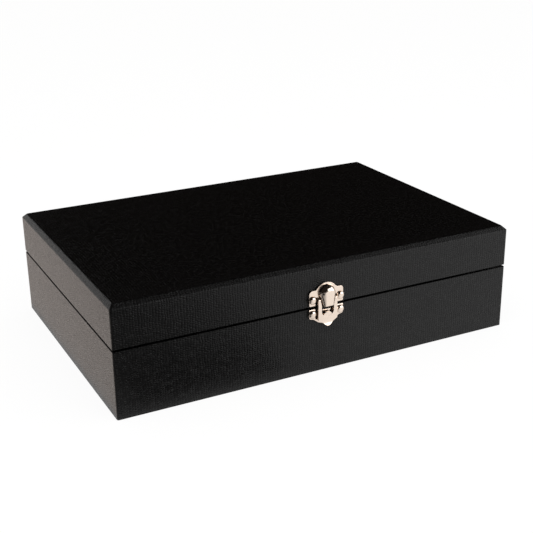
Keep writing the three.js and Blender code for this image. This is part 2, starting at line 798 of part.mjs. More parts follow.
function claspBasePlate() {
  const outline = roundedShape([
    [0, -basePlateTipDrop, 2 * basePlateCorner],
    ...mirroredCorners([
      [basePlateShoulder, -basePlateShoulderDrop, basePlateCorner],
      [basePlateWaist, -basePlateWaistDrop, 2 * basePlateCorner],
      [earHalfWidth, -basePlateEarDrop, basePlateCorner],
      [earHalfWidth, -basePlateTop, basePlateCorner],
    ]),
  ]);
  const rolledTop = haspSide([
    [claspSeat, -basePlateTop],
    [plateFront - earRoll, -basePlateTop, earRoll],
    [plateFront, -basePlateTop - earRoll, earRoll],
    [plateFront, -basePlateTipDrop - overrun],
    [claspSeat, -basePlateTipDrop - overrun],
  ]);
  const nib = haspSide([
    [claspSeat, -nibDrop - nibHalfLength],
    [plateFront, -nibDrop - nibHalfLength],
    [plateFront + nibHeight, -nibDrop, nibHalfLength / 2],
    [plateFront, nibHalfLength - nibDrop],
    [claspSeat, nibHalfLength - nibDrop],
  ]);
  let plate = frontPrism(outline, claspSeat, plateFront)
    .intersect(prismX(rolledTop, -earHalfWidth, earHalfWidth))
    .subtract(reliefs(-reliefBaseDrop, overrun))
    .add(prismX(nib, -nibHalfWidth, nibHalfWidth));
  nailSides.forEach((x) => {
    plate = plate.subtract(moved(nailHole(), x, 0, -nailBaseDrop));
  });
  return plate;
}

function claspPivot() {
  const pin = rodX(pivotRadius, -haspHalfWidth, haspHalfWidth, turnSteps / 2);
  return moved(pin, 0, -pivotDepth, haspPivotHeight);
}

// A round-head pin, driven through its plate into the board.
function claspPin() {
  const seat = plateFront + claspSeat;
  const domeHeight = nailHeadHeight - nailHeadRim;
  const dome = Array.from({ length: curveSteps }, (_, i) => {
    const angle = (Math.PI / 2) * (i / curveSteps);
    return [nailHeadRadius * Math.cos(angle), seat + nailHeadRim + domeHeight * Math.sin(angle)];
  });
  const profile = [
    [0, seat - nailLength],
    [nailShankRadius, seat - nailLength + nailPointLength],
    [nailShankRadius, seat],
    [nailHeadRadius, seat],
    ...dome,
    [0, seat + nailHeadHeight],
  ];
  return solidOf(turned(profile, turnSteps * 3 / 4).applyMatrix4(uprightToFront));
}

// Assembly
function buildBase() {
  const base = new THREE.Group();
  Object.entries(baseBoards()).forEach(([name, solid]) => {
    addMesh(base, `base_${name}_board`, solid, "board");
  });
  addMesh(base, "base_cover", baseCover(), "leatherette");
  addMesh(base, "base_bottom_sheet", bottomSheet(), "felt");
  addMesh(base, "base_lining", baseLining(), "velvet");
  addMesh(base, "base_floor_pad", floorPad(), "velvet");
  dividerPlaces(compartmentRows, padDepth).forEach((y, i) => {
    addMesh(base, `divider_long_${i + 1}`, longDivider(), "velvet").position.y = y;
  });
  dividerPlaces(compartmentColumns, padWidth).forEach((x, i) => {
    addMesh(base, `divider_cross_${i + 1}`, crossDivider(), "velvet").position.x = x;
  });
  return base;
}

function buildLid() {
  const lid = new THREE.Group();
  Object.entries(lidBoards()).forEach(([name, solid]) => {
    addMesh(lid, `lid_${name}_board`, solid, "board");
  });
  addMesh(lid, "lid_cover", lidCover(), "leatherette");
  addMesh(lid, "lid_lining", lidLining(), "velvet");
  addMesh(lid, "lid_pad", lidPad(), "velvet");
  return lid;
}

function buildHinge(name, x) {
  const hinge = new THREE.Group();
  hinge.position.set(x, hingeAxisY, seamHeight);
  addMesh(hinge, `hinge_${name}_base_leaf`, hingeLeaf(-1), "nickel");
  addMesh(hinge, `hinge_${name}_lid_leaf`, hingeLeaf(1), "nickel");
  addMesh(hinge, `hinge_${name}_pin`, hingePin(), "steel");
  screwSteps.forEach((step, i) => {
    Object.entries({ base: -1, lid: 1 }).forEach(([body, side]) => {
      const screw = addMesh(hinge, `hinge_${name}_${body}_screw_${i + 1}`, screwForm(side), "steel");
      screw.position.set(step, screwPlaceY, 0);
    });
  });
  return hinge;
}

function buildClasp() {
  const group = new THREE.Group();
  group.position.copy(clasp);
  addMesh(group, "clasp_lid_plate", claspLidPlate(), "nickel");
  addMesh(group, "clasp_hasp", claspHasp(), "nickel");
  addMesh(group, "clasp_pivot", claspPivot(), "steel");
  addMesh(group, "clasp_base_plate", claspBasePlate(), "nickel");
  [nailLidHeight, -nailBaseDrop].forEach((height, row) => {
    nailSides.forEach((x, i) => {
      addMesh(group, `clasp_pin_${2 * row + i + 1}`, claspPin(), "nickel").position.set(x, 0, height);
    });
  });
  return group;
}

const cufflinkBox = new THREE.Group();
cufflinkBox.add(buildBase(), buildLid(), buildClasp());
Object.entries(hingeSides).forEach(([name, x]) => cufflinkBox.add(buildHinge(name, x)));

export default cufflinkBox;
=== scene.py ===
"""Cufflink box: black embossed leatherette over MDF, velvet inside, and a pressed nickel clasp."""

import math

import bmesh
import bpy
from mathutils import Matrix, Vector


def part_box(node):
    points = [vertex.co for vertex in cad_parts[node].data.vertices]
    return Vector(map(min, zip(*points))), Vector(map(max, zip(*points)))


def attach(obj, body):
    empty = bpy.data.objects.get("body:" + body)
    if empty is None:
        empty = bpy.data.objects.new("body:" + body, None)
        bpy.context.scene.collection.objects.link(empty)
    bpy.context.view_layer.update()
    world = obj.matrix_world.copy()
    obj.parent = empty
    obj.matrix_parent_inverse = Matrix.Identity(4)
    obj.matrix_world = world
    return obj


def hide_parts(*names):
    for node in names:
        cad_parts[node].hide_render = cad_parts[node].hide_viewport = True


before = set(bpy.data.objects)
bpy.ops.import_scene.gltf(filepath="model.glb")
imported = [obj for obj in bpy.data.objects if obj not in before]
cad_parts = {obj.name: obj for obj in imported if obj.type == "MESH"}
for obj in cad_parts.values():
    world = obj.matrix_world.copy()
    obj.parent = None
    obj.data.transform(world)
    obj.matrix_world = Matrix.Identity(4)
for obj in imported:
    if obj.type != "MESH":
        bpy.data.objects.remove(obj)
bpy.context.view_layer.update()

# Wall, floor and lid boards. MDF sawn to width, rebated and mitred, then glued into two trays.
# Pressed wood fibre leaves a dull, even tan with short darker fibres.
MM = 0.001


def linear(hex_colour):
    """Linear RGBA from an sRGB hex colour."""
    parts = [int(hex_colour[i : i + 2], 16) / 255 for i in (1, 3, 5)]
    return (*[c / 12.92 if c <= 0.04045 else ((c + 0.055) / 1.055) ** 2.4 for c in parts], 1)


def add_node(tree, kind, settings=None, inputs=None):
    """A shader node. Each input is a value, or another node's output that is linked to it."""
    made = tree.nodes.new("ShaderNode" + kind)
    for key, value in (settings or {}).items():
        setattr(made, key, value)
    for key, value in (inputs or {}).items():
        if isinstance(value, bpy.types.NodeSocket):
            tree.links.new(value, made.inputs[key])
        else:
            made.inputs[key].default_value = value
    return made


def new_material(name, surface):
    """A material whose surface shader is made by the function given."""
    made = bpy.data.materials.new(name)
    made.use_nodes = True
    tree = made.node_tree
    tree.nodes.clear()
    add_node(tree, "OutputMaterial", inputs={"Surface": surface(tree).outputs[0]})
    return made


def fibreboard(tree):
    """MDF: fibres about 0.4 mm wide, in clouds about 14 mm wide."""
    place = add_node(tree, "TexCoord").outputs["Object"]
    fibre = add_node(tree, "TexNoise", inputs={"Vector": place, "Scale": 1 / (0.4 * MM), "Detail": 4})
    cloud = add_node(tree, "TexNoise", inputs={"Vector": place, "Scale": 1 / (14 * MM), "Detail": 2})
    mixed = add_node(tree, "Mix", inputs={0: 0.35, 2: fibre.outputs["Fac"], 3: cloud.outputs["Fac"]})
    spread = add_node(tree, "MapRange", inputs={"Value": mixed.outputs[0], "From Min": 0.3, "From Max": 0.7})
    colour = add_node(
        tree, "Mix", {"data_type": "RGBA"},
        {0: spread.outputs["Result"], 6: linear("#7d6145"), 7: linear("#b08e68")},
    )
    bump = add_node(
        tree, "Bump", inputs={"Strength": 0.4, "Distance": 0.05 * MM, "Height": fibre.outputs["Fac"]}
    )
    return add_node(
        tree,
        "BsdfPrincipled",
        inputs={
            "Base Color": colour.outputs[2],
            "Roughness": 0.85,
            "Specular IOR Level": 0.3,
            "Normal": bump.outputs["Normal"],
        },
    )


def refinish(nodes, material):
    """Gives CAD nodes, whose shape stays, their material."""
    for name in nodes:
        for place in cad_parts[name].material_slots:
            place.material = material


SIDES = ("front", "back", "left", "right")
board_nodes = [f"{part}_{side}_board" for part in ("base", "lid") for side in SIDES]
board_nodes += ["base_floor_board", "lid_top_board"]
refinish(board_nodes, new_material("mdf_fibreboard", fibreboard))


# Covers of the base and the lid. PU leatherette with a small embossed lizard grain, glued over the boards,
# turned over the rims, mitred at their corners and turned under the bottom. Corners and edges are rounded,
# and the rims are pressed back a little at the seam.
COVER_SHEET = 0.72 * MM
SEAM_EASE = 0.45 * MM
CORNER_RADIUS = 1.2 * MM
RIM_RADIUS = 1 * MM
ARRIS_RADIUS = 0.5 * MM
LID_BEVEL = 2.8 * MM
RIM_WIDTH = 10.4 * MM
RIM_TURN_IN = 6 * MM
BOTTOM_TURN_UNDER = 14 * MM
HINGE_CLEAR = 0.3 * MM
MORTISE_DEPTH = 1.45 * MM
# The grain, in millimetres. The real one is about 1 mm or finer, and this one is as coarse as it needs to be
# to show.
GRAIN_ACROSS, GRAIN_UP, GRAIN_GAP = 1.8, 1.5, 0.42
WAVER_LENGTH, WAVER_SHIFT = 9, 3
JITTER_LENGTH, JITTER_SHIFT = 1.6, 0.9
CREASES_PER_MM = 2.4
GRAIN_HEIGHT = 0.22 * MM


def lizard_leatherette(tree):
    """Black PU sheet: staggered cells in wavering columns, with fine creases, glossiest on their tops, and
    painted darker in the creases as painted shade.
    """
    grain_map = add_node(tree, "UVMap", {"uv_map": "grain"}).outputs["UV"]
    waver = add_node(tree, "TexNoise", inputs={"Vector": grain_map, "Scale": 1 / WAVER_LENGTH, "Detail": 2})
    shift = add_node(
        tree, "VectorMath", {"operation": "MULTIPLY_ADD"},
        {0: waver.outputs["Color"], 1: (WAVER_SHIFT, WAVER_SHIFT, 0), 2: grain_map},
    )
    jitter = add_node(tree, "TexNoise", inputs={"Vector": grain_map, "Scale": 1 / JITTER_LENGTH, "Detail": 1})
    moved = add_node(
        tree, "VectorMath", {"operation": "MULTIPLY_ADD"},
        {0: jitter.outputs["Color"], 1: (JITTER_SHIFT, JITTER_SHIFT, 0), 2: shift.outputs["Vector"]},
    )
    turned = add_node(
        tree, "VectorRotate", {"rotation_type": "Z_AXIS"},
        {"Vector": moved.outputs["Vector"], "Angle": math.pi / 2},
    )
    cells = add_node(
        tree, "TexBrick", {"offset": 0.5, "squash": 1},
        {
            "Vector": turned.outputs["Vector"], "Scale": 1,
            "Brick Width": GRAIN_UP, "Row Height": GRAIN_ACROSS,
            "Mortar Size": GRAIN_GAP, "Mortar Smooth": 1, "Bias": 0,
            "Color1": (1, 1, 1, 1), "Color2": (0.5, 0.5, 0.5, 1), "Mortar": (0, 0, 0, 1),
        },
    )
    crease = add_node(
        tree, "TexNoise",
        inputs={"Vector": grain_map, "Scale": CREASES_PER_MM, "Detail": 4, "Roughness": 0.6},
    )
    parts = add_node(tree, "SeparateXYZ", inputs={0: moved.outputs["Vector"]})
    column = add_node(tree, "Math", {"operation": "PINGPONG"}, {0: parts.outputs["X"], 1: GRAIN_ACROSS / 2})
    swell = add_node(tree, "Mix", inputs={0: 0.22, 2: cells.outputs["Color"], 3: column.outputs[0]})
    height = add_node(tree, "Mix", inputs={0: 0.2, 2: swell.outputs[0], 3: crease.outputs["Fac"]})
    # The colour is painted darker where the grain lies lower, in the creases and between the cells: painted
    # shade where the grain shades itself.
    colour = add_node(
        tree, "Mix", {"data_type": "RGBA"},
        {0: height.outputs[0], 6: linear("#040404"), 7: linear("#0a0909")},
    )
    worn = add_node(tree, "MapRange", inputs={"Value": height.outputs[0], "To Min": 0.4, "To Max": 0.22})
    bump = add_node(
        tree, "Bump", inputs={"Strength": 1, "Distance": GRAIN_HEIGHT, "Height": height.outputs[0]}
    )
    return add_node(
        tree,
        "BsdfPrincipled",
        inputs={
            "Base Color": colour.outputs[2],
            "Roughness": worn.outputs["Result"],
            "Specular IOR Level": 0.23,
            "Normal": bump.outputs["Normal"],
        },
    )


leatherette = new_material("embossed_pu_leatherette", lizard_leatherette)


def block(low, high):
    """A bmesh of a plain block between two corners."""
    bm = bmesh.new()
    bmesh.ops.create_cube(bm, size=1)
    bmesh.ops.scale(bm, vec=high - low, verts=bm.verts)
    bmesh.ops.translate(bm, vec=(high + low) / 2, verts=bm.verts)
    return bm


def facing(bm, direction):
    """The faces that look along a direction."""
    bm.normal_update()
    return [f for f in bm.faces if f.normal.dot(Vector(direction)) > 0.99]


def round_over(bm, edges, radius, segments):
    """Edges turned into rounds of that radius, or into a flat where there is one segment."""
    bmesh.ops.bevel(
        bm, geom=edges, offset=radius, offset_type="OFFSET", segments=segments, profile=0.5,
        affect="EDGES", material=-1, clamp_overlap=True,
    )


def open_ring(bm, face, width):
    """Leaves a ring of that width round the face, and gives the edges of its opening."""
    bmesh.ops.inset_region(bm, faces=[face], thickness=width, use_even_offset=True)
    edges = list(face.edges)
    bmesh.ops.delete(bm, geom=[face], context="FACES_ONLY")
    return edges


def new_verts(grown):
    """The vertices that an operator has just made."""
    return [g for g in grown["geom"] if isinstance(g, bmesh.types.BMVert)]


def turn_in(bm, edges, move):
    """Turns the sheet's free edges through a corner and on by that move."""
    bmesh.ops.translate(bm, vec=move, verts=new_verts(bmesh.ops.extrude_edge_only(bm, edges=edges)))


# Two places closer than this, in metres, count as the same.
NEAR = 1e-6


def at_height(edge, height):
    """True for an edge that lies level at that height."""
    return all(abs(v.co.z - height) < NEAR for v in edge.verts)


def climb(edge):
    """How far an edge runs up."""
    return abs(edge.verts[0].co.z - edge.verts[1].co.z)


def map_grain(bm, half):
    """Lays the sheet out flat in millimetres, so that the grain runs up each side and over its edges."""
    layer = bm.loops.layers.uv.new("grain")
    # A face that looks further up or down than this lies level. The end walls are laid out well aside.
    level = 0.8
    aside = 3 * half.x
    for face in bm.faces:
        n = face.normal
        for loop in face.loops:
            x, y, z = loop.vert.co
            if abs(n.z) > level:
                place = (x, y)
            elif abs(n.x) > abs(n.y):
                place = (y + aside, z + half.x - abs(x))
            else:
                place = (x, z + half.y - abs(y))
            loop[layer].uv = (place[0] / MM, place[1] / MM)


def object_from(bm, name, material):
    """A smoothly shaded piece from a bmesh, at the origin, with its one material."""
    mesh = bpy.data.meshes.new(name)
    for face in bm.faces:
        face.smooth = True
    bm.to_mesh(mesh)
    bm.free()
    mesh.materials.append(material)
    made = bpy.data.objects.new(name, mesh)
    bpy.context.scene.collection.objects.link(made)
    return made


def thicken(piece, thickness):
    """Gives a sheet its thickness, inwards."""
    solid = piece.modifiers.new("thickness", "SOLIDIFY")
    solid.thickness = thickness
    solid.offset = -1
    solid.use_even_offset = True


def keep_flats(piece, weight=50):
    """Lets flats shade flat right up to their rounded edges."""
    piece.modifiers.new("flats", "WEIGHTED_NORMAL").weight = weight


def score(bm, place, across):
    """Cuts a line right round a mesh where a plane passes, and keeps both parts."""
    geom = bm.verts[:] + bm.edges[:] + bm.faces[:]
    bmesh.ops.bisect_plane(bm, geom=geom, plane_co=place, plane_no=across)


def hinge_notches(bm, rim, side):
    """Cuts the turned-over sheet away where the hinge leaves lie in the back rim. side is 1 on the base."""
    low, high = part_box("hinge_left_base_leaf")
    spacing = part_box("hinge_right_base_leaf")[0].x - low.x
    spans = [(low.x + s - HINGE_CLEAR, high.x + s + HINGE_CLEAR) for s in (0, spacing)]
    inner = low.y - HINGE_CLEAR
    stop = rim - side * MORTISE_DEPTH
    planes = [((x, 0, 0), (1, 0, 0)) for span in spans for x in span]
    planes += [((0, inner, 0), (0, 1, 0)), ((0, 0, stop), (0, 0, 1))]
    for place, across in planes:
        score(bm, place, across)
    gone = []
    for face in bm.faces:
        c = face.calc_center_median()
        if c.y > inner and side * (c.z - stop) > 0 and any(near < c.x < far for near, far in spans):
            gone.append(face)
    bmesh.ops.delete(bm, geom=gone, context="FACES")


def outer_edges(bm, half, height):
    """The edges at that height that run round the outside, also along the rounded corners."""
    reach = CORNER_RADIUS * 1.01

    def outside(vert):
        on_side = abs(abs(vert.co.x) - half.x) < NEAR or abs(abs(vert.co.y) - half.y) < NEAR
        on_corner = abs(vert.co.x) > half.x - reach and abs(vert.co.y) > half.y - reach
        return on_side or on_corner

    return [e for e in bm.edges if at_height(e, height) and all(outside(v) for v in e.verts)]


def base_cover():
    """The base's leatherette: its walls, its foot turned under and its rim turned in."""
    low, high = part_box("base_cover")
    half = (high - low) / 2
    rim = high.z
    high.z -= SEAM_EASE
    bm = block(low, high)
    open_ring(bm, facing(bm, (0, 0, -1))[0], BOTTOM_TURN_UNDER)
    turn_in(bm, open_ring(bm, facing(bm, (0, 0, 1))[0], RIM_WIDTH), Vector((0, 0, -RIM_TURN_IN)))
    corners = [e for e in bm.edges if climb(e) > RIM_TURN_IN * 2]
    round_over(bm, corners, CORNER_RADIUS, segments=5)
    round_over(bm, outer_edges(bm, half, high.z), RIM_RADIUS, segments=4)
    round_over(bm, outer_edges(bm, half, low.z), ARRIS_RADIUS, segments=3)
    hinge_notches(bm, rim, 1)
    bmesh.ops.recalc_face_normals(bm, faces=bm.faces)
    map_grain(bm, half)
    return object_from(bm, "leatherette_base", leatherette)


def on_mitre(vert, half, top):
    """True on an upright corner, and where the bevel meets the lid's top at one."""
    inset = max(0, vert.co.z - (top - LID_BEVEL))
    return all(abs(abs(at) - (reach - inset)) < 10 * NEAR for at, reach in zip(vert.co.xy, half.xy))


def lid_cover():
    """The lid's leatherette: its top, its bevel, its walls and its rim turned in."""
    low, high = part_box("lid_cover")
    half = (high - low) / 2
    rim = low.z
    low.z += SEAM_EASE
    bm = block(low, high)
    round_over(bm, [e for e in bm.edges if at_height(e, high.z)], LID_BEVEL, segments=1)
    turn_in(bm, open_ring(bm, facing(bm, (0, 0, -1))[0], RIM_WIDTH), Vector((0, 0, RIM_TURN_IN)))
    corners = [
        e for e in bm.edges
        if climb(e) > LID_BEVEL / 2 and all(on_mitre(v, half, high.z) for v in e.verts)
    ]
    round_over(bm, corners, CORNER_RADIUS, segments=5)
    bevel_foot = high.z - LID_BEVEL - 0.3 * MM
    arrises = [
        e for e in bm.edges
        if all(v.co.z > bevel_foot for v in e.verts) and len(e.link_faces) == 2
        and climb(e) < 10 * NEAR and e.calc_face_angle() > math.radians(20)
    ]
    round_over(bm, arrises, ARRIS_RADIUS, segments=3)
    round_over(bm, outer_edges(bm, half, low.z), RIM_RADIUS, segments=4)
    hinge_notches(bm, rim, -1)
    bmesh.ops.recalc_face_normals(bm, faces=bm.faces)
    map_grain(bm, half)
    return object_from(bm, "leatherette_lid", leatherette)


# The base's cut is a strip as long as the way round the box and an overlap. The lid's is one sheet with its
# corners cut out, so its area is given too.
for make_cover, node, body, flat, area in (
    (base_cover, "base_cover", "base", (0.985, 0.076), None),
    (lid_cover, "lid_cover", "lid", (0.378, 0.2845), 0.0989),
):
    cover = make_cover()
    thicken(cover, COVER_SHEET)
    keep_flats(cover, weight=80)
    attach(cover, body)
    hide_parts(node)


# Liners, dividers and pads. Short-pile black velvet glued over card, thin board and wadding.
# The pile is dull seen along it and paler seen across it, and lies in broad strokes where a hand has passed;
# the strokes are painted lighter and darker into its colour, as painted sheen.


def cotton_velvet(tree):
    """Velvet: tufts of the pile 0.5 mm apart, and strokes 20 mm across, painted lighter and darker as painted
    sheen where the pile lies over.
    """
    place = add_node(tree, "TexCoord").outputs["Object"]
    painted_sheen_stroke = add_node(tree, "TexNoise", inputs={"Vector": place, "Scale": 1 / (20 * MM), "Detail": 3})
    pile = add_node(tree, "TexNoise", inputs={"Vector": place, "Scale": 1 / (0.5 * MM), "Detail": 3})
    mixed = add_node(tree, "Mix", inputs={0: 0.5, 2: painted_sheen_stroke.outputs["Fac"], 3: pile.outputs["Fac"]})
    spread = add_node(
        tree, "MapRange", inputs={"Value": mixed.outputs[0], "From Min": 0.35, "From Max": 0.65}
    )
    # The colour is painted lighter and darker in broad strokes, a painted sheen of the pile lying over, and
    # at random in its tufts.
    colour = add_node(
        tree, "Mix", {"data_type": "RGBA"},
        {0: spread.outputs["Result"], 6: linear("#0d0c0f"), 7: linear("#1d1b20")},
    )
    bump = add_node(
        tree, "Bump", inputs={"Strength": 0.6, "Distance": 0.12 * MM, "Height": pile.outputs["Fac"]}
    )
    return add_node(
        tree,
        "BsdfPrincipled",
        inputs={
            "Base Color": colour.outputs[2],
            "Roughness": 0.95,
            "Specular IOR Level": 0.1,
            "Sheen Weight": 0.6,
            "Sheen Roughness": 0.35,
            "Sheen Tint": linear("#8b8790"),
            "Normal": bump.outputs["Normal"],
        },
    )


velvet = new_material("cotton_velvet", cotton_velvet)
LINER_THICKNESS = 1.2 * MM
LINER_EDGE = 0.45 * MM
# Edges that turn by more than this, in radians, are sharp ones.
SHARP = 1


def liner(node):
    """A velvet-covered card ring, soft along its upper and lower edges."""
    low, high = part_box(node)
    bm = block(low, high)
    loops = []
    for side in (-1, 1):
        loops += open_ring(bm, facing(bm, (0, 0, side))[0], LINER_THICKNESS)
    bmesh.ops.bridge_loops(bm, edges=loops)
    edges = [e for e in bm.edges if at_height(e, low.z) or at_height(e, high.z)]
    round_over(bm, [e for e in edges if e.calc_face_angle() > SHARP], LINER_EDGE, segments=3)
    bmesh.ops.recalc_face_normals(bm, faces=bm.faces)
    made = object_from(bm, "velvet_" + node, velvet)
    keep_flats(made)
    return made


for node, body in (("base_lining", "base"), ("lid_lining", "lid")):
    made = liner(node)
    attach(made, body)
    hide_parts(node)


def eased_copy(node, name, material, radius):
    """A solid's copy with its sharp edges eased, as cloth or a tumbled finish leaves them."""
    bm = bmesh.new()
    bm.from_mesh(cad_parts[node].data)
    bmesh.ops.remove_doubles(bm, verts=bm.verts, dist=NEAR)
    bmesh.ops.dissolve_limit(bm, angle_limit=math.radians(2), verts=bm.verts, edges=bm.edges)
    sharp = [e for e in bm.edges if len(e.link_faces) == 2 and e.calc_face_angle() > math.radians(60)]
    round_over(bm, sharp, radius, segments=2)
    made = object_from(bm, name, material)
    keep_flats(made)
    return made


DIVIDER_EDGE = 0.35 * MM
for node in [f"divider_long_{i}" for i in (1, 2, 3)] + [f"divider_cross_{i}" for i in (1, 2, 3, 4, 5)]:
    made = eased_copy(node, "velvet_" + node, velvet, DIVIDER_EDGE)
    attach(made, "base")
    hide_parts(node)

PAD_STEP = 3 * MM
PAD_PRESSURE = 4
PAD_EDGE = 1 * MM
PAD_FRAMES = 20
# The power that keeps a drawn-in side's move close to that side.
PAD_DRAW = 15


def set_down(bm, box, height, side):
    """Puts a piece made at the origin in the middle of a box, at a height, turned over where side is -1."""
    low, high = box
    if side < 0:
        bmesh.ops.rotate(bm, cent=(0, 0, 0), matrix=Matrix.Rotation(math.pi, 3, "X"), verts=bm.verts)
    bmesh.ops.translate(bm, vec=((low.x + high.x) / 2, (low.y + high.y) / 2, height), verts=bm.verts)
    bmesh.ops.recalc_face_normals(bm, faces=bm.faces)


def puffed(bm, name, held, crown):
    """Blows the cloth up between its held points, and keeps the rise within the crown."""
    held = [v.index for v in held]
    piece = object_from(bm, name, velvet)
    start = [v.co.copy() for v in piece.data.vertices]
    piece.vertex_groups.new(name="held").add(held, 1, "REPLACE")
    cloth = piece.modifiers.new("wadding", "CLOTH")
    cloth.settings.vertex_group_mass = "held"
    cloth.settings.use_pressure = True
    cloth.settings.uniform_pressure_force = PAD_PRESSURE
    cloth.settings.effector_weights.gravity = 0
    scene = bpy.context.scene
    for number in range(1, PAD_FRAMES + 1):
        scene.frame_set(number)
    grown = piece.evaluated_get(bpy.context.evaluated_depsgraph_get()).to_mesh()
    rises = [after.co - before for after, before in zip(grown.vertices, start)]
    most = max(abs(r.z) for r in rises)
    share = crown / most
    for vert, before, rise in zip(piece.data.vertices, start, rises):
        vert.co = before + Vector((0, 0, abs(rise.z) * share))
    piece.modifiers.remove(cloth)
    piece.vertex_groups.clear()
    scene.frame_set(1)
    return piece


def wadded_pad(node, columns, rows, crown, side, draw_in):
    """A velvet pad over wadding, held down along the lines between its cells.

    side is 1 where it faces up, and draw_in is how far the middles of its sides are pulled inwards.
    """
    # A corner of the cloth this close to a line between cells, in cells, is held down.
    line_reach = 1e-4
    low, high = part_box(node)
    size = high - low
    steps_x = columns * round(size.x / columns / PAD_STEP)
    steps_y = rows * round(size.y / rows / PAD_STEP)
    bm = bmesh.new()
    bmesh.ops.create_grid(bm, x_segments=steps_x, y_segments=steps_y, size=0.5)
    bmesh.ops.scale(bm, vec=(size.x, size.y, 1), verts=bm.verts)
    held = []
    for vert in bm.verts:
        across = (vert.co.x / size.x + 0.5) * columns
        along = (vert.co.y / size.y + 0.5) * rows
        if min(abs(across - round(across)), abs(along - round(along))) < line_reach:
            held.append(vert)
    piece = puffed(bm, "velvet_" + node, held, crown)
    bm = bmesh.new()
    bm.from_mesh(piece.data)
    rim = [e for e in bm.edges if e.is_boundary]
    turn_in(bm, rim, (0, 0, crown - size.z))
    bmesh.ops.holes_fill(bm, edges=[e for e in bm.edges if e.is_boundary], sides=0)
    arris = [
        e for e in bm.edges
        if len(e.link_faces) == 2 and e.calc_face_angle() > SHARP and all(v.co.z > -NEAR for v in e.verts)
    ]
    round_over(bm, arris, PAD_EDGE, segments=3)
    for vert in bm.verts:
        across = 2 * vert.co.x / size.x
        along = 2 * vert.co.y / size.y
        vert.co.x -= draw_in * across**PAD_DRAW * math.sqrt(max(0, math.cos(math.pi / 2 * along)))
        vert.co.y -= draw_in * along**PAD_DRAW * math.sqrt(max(0, math.cos(math.pi / 2 * across)))
    set_down(bm, (low, high), high.z - crown if side > 0 else low.z + crown, side)
    bm.to_mesh(piece.data)
    bm.free()
    for face in piece.data.polygons:
        face.use_smooth = True
    return piece


for node, body, columns, rows, crown, side, draw_in in (
    ("base_floor_pad", "base", 6, 4, 1 * MM, 1, 0),
    ("lid_pad", "lid", 1, 1, 1.5 * MM, -1, 0.8 * MM),
):
    pad = wadded_pad(node, columns, rows, crown, side, draw_in)
    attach(pad, body)
    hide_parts(node)


# Sheet under the base. Pressed wool felt glued over the turned-under leatherette's opening.
# It is matt and slightly uneven, with loose fibres lying every way.


def wool_felt(tree):
    """Felt: matted fibres about 0.6 mm apart, with no weave."""
    place = add_node(tree, "TexCoord").outputs["Object"]
    fibre = add_node(
        tree, "TexNoise", inputs={"Vector": place, "Scale": 1 / (0.6 * MM), "Detail": 6, "Distortion": 2}
    )
    spread = add_node(
        tree, "MapRange", inputs={"Value": fibre.outputs["Fac"], "From Min": 0.35, "From Max": 0.65}
    )
    colour = add_node(
        tree, "Mix", {"data_type": "RGBA"},
        {0: spread.outputs["Result"], 6: linear("#101010"), 7: linear("#242324")},
    )
    bump = add_node(
        tree, "Bump", inputs={"Strength": 0.8, "Distance": 0.15 * MM, "Height": fibre.outputs["Fac"]}
    )
    return add_node(
        tree,
        "BsdfPrincipled",
        inputs={
            "Base Color": colour.outputs[2],
            "Roughness": 1.0,
            "Specular IOR Level": 0.1,
            "Normal": bump.outputs["Normal"],
        },
    )


FELT_CORNER = 1 * MM
FELT_EDGE = 0.3 * MM
low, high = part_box("base_bottom_sheet")
bm = block(low, high)
round_over(bm, [e for e in bm.edges if climb(e) > 0.1 * MM], FELT_CORNER, segments=3)
round_over(bm, [e for e in bm.edges if at_height(e, low.z)], FELT_EDGE, segments=2)
bmesh.ops.recalc_face_normals(bm, faces=bm.faces)
felt = object_from(bm, "felt_bottom_sheet", new_material("wool_felt", wool_felt))
keep_flats(felt)
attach(felt, "base")
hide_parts("base_bottom_sheet")


# Hinges. Steel leaves, stamped, rolled round a wire pin and let into the rims, with slotted countersunk
# screws. All are plated, even and half bright, with faint lines left by rolling. A screw's outline runs from
# its head's rim to its point, as radius and depth in millimetres.
LEAF_EDGE = 0.18 * MM
SCREW_PROFILE = ((1.75, 0), (1.9, 0.12), (0.95, 1), (0.9, 1.2), (0.9, 5.5), (0, 7.5))
SCREW_SLOT_HALF_WIDTH, SCREW_SLOT_HALF_LENGTH, SCREW_SLOT_DEPTH = 0.25, 1.45, 0.5


def plated_steel(tree):
    """Plated steel: gloss in streaks left by rolling, about 5.6 mm long and 0.4 mm wide."""
    place = add_node(tree, "TexCoord").outputs["Object"]
    lines = add_node(tree, "Mapping", inputs={"Vector": place, "Scale": (60, 900, 900)})
    rolled = add_node(tree, "TexNoise", inputs={"Vector": lines.outputs["Vector"], "Scale": 3, "Detail": 3})
    gloss = add_node(
        tree, "MapRange", inputs={"Value": rolled.outputs["Fac"], "To Min": 0.25, "To Max": 0.42}
    )
    return add_node(
        tree,
        "BsdfPrincipled",
        inputs={"Base Color": linear("#c9c6c0"), "Metallic": 1, "Roughness": gloss.outputs["Result"]},
    )


steel = new_material("plated_steel", plated_steel)


